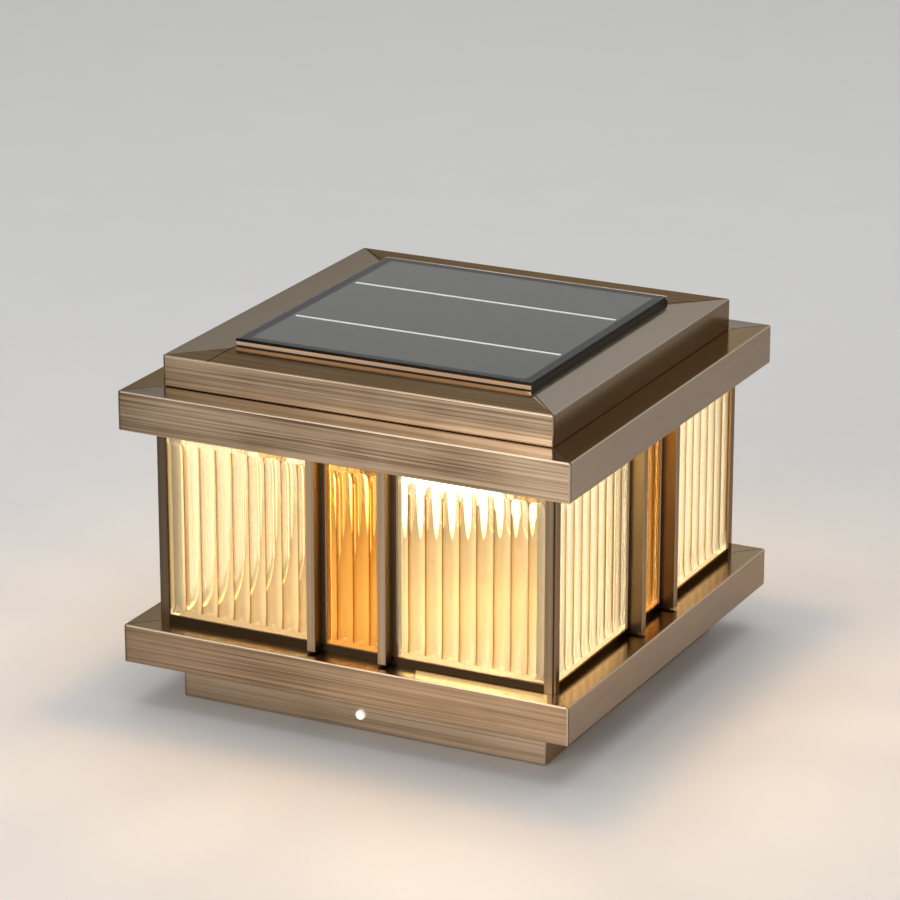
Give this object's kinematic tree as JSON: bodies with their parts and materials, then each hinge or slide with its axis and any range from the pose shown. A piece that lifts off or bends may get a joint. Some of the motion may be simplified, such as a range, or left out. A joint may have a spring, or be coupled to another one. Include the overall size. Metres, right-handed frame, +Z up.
{
  "type": "solar pillar light",
  "caption": "Square solar pillar light with a stepped antique-bronze roof and base, fluted clear and amber glass sides with upright fins, and a solar panel on top.",
  "frame": {"origin": "middle of the underside, on top of the pillar", "axes": "+Z up, -Y towards the front face, +X to the right seen from the front"},
  "size_m": [0.25, 0.25, 0.1892],
  "materials": {
    "bronze_sheet": "antique bronze plating, brushed along the length of each face",
    "bronze_frame": "antique bronze plating, finely brushed, darker than the boxes",
    "clear_fluted_glass": "clear champagne glass with upright hollow flutes",
    "amber_fluted_glass": "amber glass with upright hollow flutes",
    "zinc_plate": "zinc-plated steel",
    "zinc_hardware": "zinc-plated fasteners",
    "bright_screw": "bright nickel-plated screw heads",
    "white_reflector": "warm white enamel",
    "black_rubber": "black weather seal",
    "panel_backing": "aluminium carrier plate, bronze anodised",
    "silicon_cell": "dark grey silicon cell",
    "silver_ribbon": "tinned silver ribbon",
    "panel_glass": "clear tempered cover glass with ground edges",
    "heat_sink_alloy": "turned aluminium",
    "led_board_white": "white solder mask with chips",
    "opal_diffuser": "opal dome, lit warm white",
    "battery_wrap": "blue heat-shrink sleeve",
    "black_plastic": "black moulded plastic",
    "circuit_board": "green circuit board",
    "lead_sheath": "black lead sheath",
    "button_grey": "dark grey button"
  },
  "bodies": {
    "mount": {"mounting_plate": "zinc_plate"},
    "lantern": {"plinth_skirt": "bronze_sheet", "plinth_screws": "zinc_hardware", "side_screws": "bright_screw", "side_nuts": "zinc_hardware", "base_tray": "bronze_sheet", "floor_reflector": "white_reflector", "glazing_strips": "bronze_frame", "strip_screws": "zinc_hardware", "corner_angles": "bronze_frame", "tie_nuts": "zinc_hardware", "side_frame_front": "bronze_frame", "side_frame_right": "bronze_frame", "side_frame_back": "bronze_frame", "side_frame_left": "bronze_frame", "fin_front_left": "bronze_frame", "fin_front_right": "bronze_frame", "fin_right_left": "bronze_frame", "fin_right_right": "bronze_frame", "fin_back_left": "bronze_frame", "fin_back_right": "bronze_frame", "fin_left_left": "bronze_frame", "fin_left_right": "bronze_frame", "corner_post_front_right": "bronze_frame", "corner_post_back_right": "bronze_frame", "corner_post_back_left": "bronze_frame", "corner_post_front_left": "bronze_frame", "clear_pane_front_left": "clear_fluted_glass", "clear_pane_front_right": "clear_fluted_glass", "clear_pane_right_left": "clear_fluted_glass", "clear_pane_right_right": "clear_fluted_glass", "clear_pane_back_left": "clear_fluted_glass", "clear_pane_back_right": "clear_fluted_glass", "clear_pane_left_left": "clear_fluted_glass", "clear_pane_left_right": "clear_fluted_glass", "amber_pane_front": "amber_fluted_glass", "amber_pane_right": "amber_fluted_glass", "amber_pane_back": "amber_fluted_glass", "amber_pane_left": "amber_fluted_glass"},
    "roof": {"roof_seal": "black_rubber", "tie_bolts": "zinc_hardware", "ceiling_plate": "white_reflector", "ceiling_screws": "zinc_hardware", "eave_tray": "bronze_sheet", "cap_box": "bronze_sheet", "cap_screws": "zinc_hardware", "panel_gasket": "black_rubber", "panel_board": "panel_backing", "solar_cell": "silicon_cell", "busbars": "silver_ribbon", "panel_glass": "panel_glass", "heat_sink": "heat_sink_alloy", "led_board": "led_board_white", "diffuser": "opal_diffuser", "battery_cells": "battery_wrap", "battery_holder": "black_plastic", "controller_board": "circuit_board", "wiring": "lead_sheath", "power_switch": "black_plastic"},
    "power_button": {"power_button": "button_grey"}
  },
  "joints": [
    {"name": "lamp_lift", "type": "slide", "parent": "mount", "child": "lantern", "axis": [0, 0, 1], "range_m": [0, 0.04]},
    {"name": "roof_lift", "type": "slide", "parent": "lantern", "child": "roof", "axis": [0, 0, 1], "range_m": [0, 0.13]},
    {"name": "power_button_press", "type": "slide", "parent": "roof", "child": "power_button", "axis": [0, 0, 1], "range_m": [0, 0.0015], "stiffness_N_per_m": 300, "springref_m": -0.001}
  ]
}
